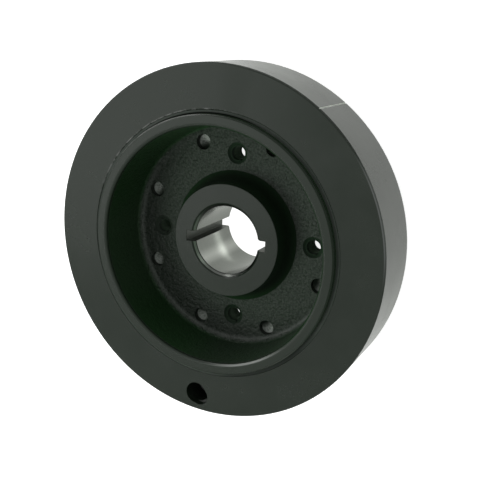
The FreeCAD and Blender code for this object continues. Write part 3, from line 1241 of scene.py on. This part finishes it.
    def add_thread(self, mesh: bmesh.types.BMesh, bearing: float) -> None:
        """Wind a ridge up the wall of one bolt hole.

        Args:
            mesh: the bmesh that takes the ridge.
            bearing: where the hole lies on the bolt circle, in radians.
        """
        ridge = bmesh.new()
        foot, crest = self.pitch * self.root_share, self.pitch * self.crest_share
        outline = [(self.root_radius, -foot), (self.crest_radius, -crest),
                   (self.crest_radius, crest), (self.root_radius, foot)]
        corners = [ridge.verts.new((across, 0.0, self.thread_bottom + up))
                   for across, up in outline]
        first = [ridge.edges.new((start, end))
                 for start, end in zip(corners, corners[1:] + corners[:1])]
        turns = (self.thread_top - self.thread_bottom) / self.pitch
        spun = bmesh.ops.spin(ridge, geom=corners + first, cent=(0, 0, 0), axis=(0, 0, 1),
                              dvec=(0, 0, self.pitch / self.steps_a_turn),
                              angle=math.tau * turns, steps=round(turns * self.steps_a_turn))
        last = [item for item in spun["geom_last"] if isinstance(item, bmesh.types.BMEdge)]
        for end in (first, last):
            bmesh.ops.edgeloop_fill(ridge, edges=end)
        hole = Vector((math.cos(bearing), math.sin(bearing), 0.0)) * HUB.bolt_circle
        bmesh.ops.translate(ridge, verts=ridge.verts, vec=hole)
        carried = bpy.data.meshes.new("ridge")
        ridge.to_mesh(carried)
        ridge.free()
        mesh.from_mesh(carried)
        bpy.data.meshes.remove(carried)


@dataclass
class OuterRing:
    """The rubber strip and the inertia ring that it carries."""

    rubber: RubberFinish = RubberFinish()
    paint: RingFinish = RingFinish()

    def build(self) -> list[bpy.types.Object]:
        """Dress the two rings.

        Returns:
            The rubber's solid and the ring's solid.
        """
        paint_node("rubber_ring", self.rubber.build())
        paint_node("inertia_ring", self.paint.build())
        return [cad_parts["rubber_ring"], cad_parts["inertia_ring"]]


@dataclass(frozen=True)
class Softbox:
    """A rectangular studio lamp that shines at a point.

    Attributes:
        name: the lamp's name.
        place: where it hangs.
        width: its width.
        height: its height.
        power: its power in watts.
        mirrored: whether glossy surfaces mirror it.
        aim: the point that it shines at.
    """

    name: str
    place: tuple[float, float, float]
    width: float
    height: float
    power: float
    mirrored: bool = True
    aim: tuple[float, float, float] = (0.0, 0.0, 0.05)

    def build(self) -> None:
        """Hang the lamp and turn it to its aim."""
        lamp = bpy.data.lights.new(self.name, "AREA")
        lamp.shape = "RECTANGLE"
        lamp.size, lamp.size_y, lamp.energy = self.width, self.height, self.power
        holder = bpy.data.objects.new(self.name, lamp)
        bpy.context.collection.objects.link(holder)
        away = Vector(self.aim) - Vector(self.place)
        holder.location = self.place
        holder.rotation_euler = away.to_track_quat("-Z", "Y").to_euler()
        holder.visible_glossy = self.mirrored


@dataclass(frozen=True)
class Floor:
    """A floor that looks white to the camera and keeps the part's shadow.

    Attributes:
        size: its side.
        colour: its paint.
        roughness: how rough it is.
        camera_glow: what is added to it where the camera sees it.
        bore_glow: what is added on top of that where it is seen through the bore.
        bore_radius: how far from the axis that lies.
        mirror_glow: what is added to it where a glossy surface mirrors it.
        mirror_tone: the colour of that.
        glow_patch_place: the middle of a glowing patch painted on the floor inside the sleeve, which
            the bore's wall mirrors as a painted highlight.
        glow_patch_strength: how much brighter that patch looks where the bore's wall mirrors it.
        glow_patch_fade: the distances from its middle between which it sets in.
    """

    size: float = 6.0
    colour: Colour = (0.8, 0.8, 0.8, 1.0)
    roughness: float = 0.9
    camera_glow: float = 0.86
    bore_glow: float = 0.25
    bore_radius: float = 0.027
    mirror_glow: float = 0.62
    mirror_tone: Colour = (0.975, 1.0, 0.95, 1.0)
    glow_patch_place: tuple[float, float, float] = (-0.0082, -0.0041, 0.0)
    glow_patch_strength: float = 1.9
    glow_patch_fade: tuple[float, float] = (0.0026, 0.0008)

    def build(self) -> None:
        """Lay the floor under the part."""
        plane = bmesh.new()
        bmesh.ops.create_grid(plane, x_segments=1, y_segments=1, size=self.size / 2)
        floor = new_object("floor", plane)
        floor.data.materials.append(self.paint())

    def paint(self) -> bpy.types.Material:
        """Build the floor's material."""
        material, board, shader = new_material("floor_white")
        shader.inputs["Base Color"].default_value = self.colour
        shader.inputs["Roughness"].default_value = self.roughness
        rays = board.put("LightPath").outputs
        seen, mirrored = rays["Is Camera Ray"], rays["Is Glossy Ray"]
        mirrored = board.math("MAXIMUM", mirrored, rays["Is Transmission Ray"])
        spot = Spot.read(board)
        reach = board.put("VectorMath", operation="DISTANCE")
        board.feed(reach.inputs[0], spot.place)
        board.feed(reach.inputs[1], self.glow_patch_place)
        # painted light: a glowing patch on the floor, mirrored in the bore as its highlight
        glow_patch = board.ramp(reach.outputs["Value"], *self.glow_patch_fade)
        camera_glow = board.math("MULTIPLY_ADD", board.below(spot.radius, self.bore_radius),
                                 self.bore_glow, self.camera_glow)
        mirror_glow = board.math("MULTIPLY_ADD", glow_patch, self.glow_patch_strength, self.mirror_glow)
        glow = board.math("ADD", board.times(seen, camera_glow),
                          board.times(mirrored, mirror_glow))
        board.feed(shader.inputs["Emission Color"], board.tint(seen, self.mirror_tone, WHITE))
        board.feed(shader.inputs["Emission Strength"], glow)
        return material


@dataclass(frozen=True)
class Surround:
    """A pale surround that is brightest at the upper left, and white to the camera.

    Attributes:
        bright_side: the direction of its brightest point.
        bright_level: its strength there.
        dark_level: its strength on the far side.
        dark_tone: its colour on the far side.
        fade: the cosines between which it brightens, from the far side to the bright side.
        tone_reach: how much sooner its colour turns white than its strength is full.
    """

    bright_side: tuple[float, float, float] = (-0.498, -0.044, 0.866)
    bright_level: float = 0.52
    dark_level: float = 0.2
    dark_tone: Colour = (0.8, 1.18, 0.8, 1.0)
    fade: tuple[float, float] = (-0.45, 0.95)
    tone_reach: float = 1.6

    def build(self) -> None:
        """Light the part softly from all round."""
        world = bpy.data.worlds.new("surround")
        world.use_nodes = True
        bpy.context.scene.world = world
        board = Board(world.node_tree)
        ground = world.node_tree.nodes["Background"]
        facing = board.put("VectorMath", operation="DOT_PRODUCT")
        board.feed(facing.inputs[0], board.put("TexCoord").outputs["Generated"])
        board.feed(facing.inputs[1], tuple(Vector(self.bright_side).normalized()))
        share = board.ramp(facing.outputs["Value"], *self.fade)
        level = board.blend(share, self.dark_level, self.bright_level)
        seen = board.put("LightPath").outputs["Is Camera Ray"]
        whiter = board.math("MULTIPLY", share, self.tone_reach, clamp=True)
        tone = board.tint(whiter, self.dark_tone, WHITE)
        board.feed(ground.inputs["Color"], board.tint(seen, tone, WHITE))
        board.feed(ground.inputs["Strength"], board.blend(seen, level, 1.0))


@dataclass(frozen=True)
class Studio:
    """The floor, the lamps and the surround."""

    floor: Floor = Floor()
    lamps: tuple[Softbox, ...] = (
        Softbox("left_softbox", (-0.767, 0.08, 1.08), 0.86, 0.72, 1.22),
        Softbox("low_softbox", (-0.87, 0.78, 0.34), 0.8, 0.36, 2.4),
        Softbox("fill_softbox", (-0.69, -0.49, 1.05), 0.6, 0.5, 12.5, mirrored=False),
    )
    surround: Surround = Surround()

    def build(self) -> None:
        """Set up the floor, the lamps and the surround."""
        self.floor.build()
        for lamp in self.lamps:
            lamp.build()
        self.surround.build()
        bpy.context.scene.view_settings.view_transform = "Standard"


@dataclass(frozen=True)
class PhotoCamera:
    """The camera at the place and angle of the photograph.

    Attributes:
        place: where it stands.
        aim: a point on its line of sight.
        top: the direction of the picture's upper edge.
        lens: its focal length in millimetres.
        sensor: its sensor's width in millimetres.
        shift: how far the picture is shifted across and up.
        clip: the nearest and the farthest distance that it sees.
    """

    place: tuple[float, float, float] = (0.2038984, 0.1199681, 0.4504931)
    aim: tuple[float, float, float] = (0.0135869, -0.0147784, 0.0466)
    top: tuple[float, float, float] = (-0.1512267, 0.956889, -0.2479796)
    lens: float = 60.29
    sensor: float = 36.0
    shift: tuple[float, float] = (-0.0107, 0.0601)
    clip: tuple[float, float] = (0.01, 20.0)

    def build(self) -> None:
        """Make the camera and use it for the scene."""
        data = bpy.data.cameras.new("photo_camera")
        data.sensor_width, data.lens = self.sensor, self.lens
        data.shift_x, data.shift_y = self.shift
        data.clip_start, data.clip_end = self.clip
        holder = bpy.data.objects.new("photo_camera", data)
        bpy.context.collection.objects.link(holder)
        back = (Vector(self.place) - Vector(self.aim)).normalized()
        right = Vector(self.top).cross(back).normalized()
        turn = Matrix((right, back.cross(right), back)).transposed()
        holder.matrix_world = Matrix.Translation(self.place) @ turn.to_4x4()
        bpy.context.scene.camera = holder


def main() -> None:
    """Dress the balancer, set up its studio and its camera, and log each piece."""
    logging.basicConfig(level=logging.INFO, format="%(name)s: %(message)s")
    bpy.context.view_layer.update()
    Effects().build()
    for assembly in (Hub(), OuterRing()):
        for piece in assembly.build():
            LOG.info("%s has %d faces", piece.name, len(piece.data.polygons))
    Studio().build()
    PhotoCamera().build()


if __name__ == "__main__":
    main()
